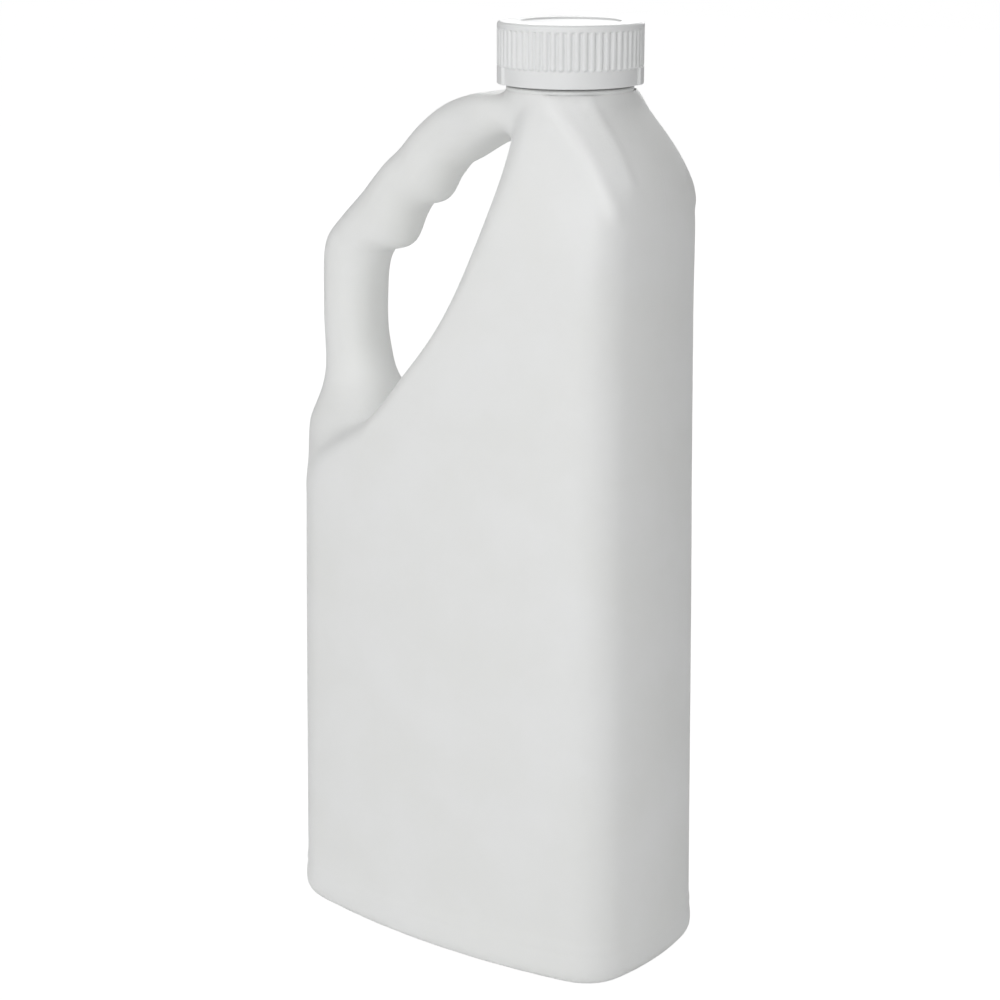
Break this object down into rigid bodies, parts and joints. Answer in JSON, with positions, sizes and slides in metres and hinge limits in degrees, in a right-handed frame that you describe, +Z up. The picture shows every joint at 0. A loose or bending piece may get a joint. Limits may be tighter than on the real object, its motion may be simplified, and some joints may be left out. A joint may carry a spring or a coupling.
{
  "type": "plastic jug",
  "caption": "Blown plastic jug with rounded oblong body, see-through side handle, screw neck and ribbed screw cap with a foam liner.",
  "frame": {"origin": "middle of the base on the plane that the foot ring rests on", "axes": "+Z up, +X towards the pouring side under the neck, -X towards the handle, +Y and -Y out of the two wide faces"},
  "size_m": [0.1116, 0.0622, 0.2481],
  "materials": {
    "jug_plastic": "white blown polyethylene, satin, faintly translucent",
    "cap_plastic": "white moulded polypropylene, satin",
    "liner_foam": "white foamed polyethylene, matt"
  },
  "bodies": {
    "jug": {"jug": "jug_plastic"},
    "liner": {"cap_liner": "liner_foam"},
    "cap": {"cap": "cap_plastic"}
  },
  "joints": [
    {"name": "cap_lift", "type": "slide", "parent": "jug", "child": "liner", "axis": [0, 0, 1], "range_m": [0, 0.0127]},
    {"name": "cap_turn", "type": "hinge", "parent": "liner", "child": "cap", "pos_m": [0.02395, 0, 0.23], "axis": [0, 0, 1], "range_deg": [0, 1080.5]}
  ],
  "couplings": [
    {"joint": "cap_turn", "follows": "cap_lift", "rad_per_m": 1484.2}
  ]
}
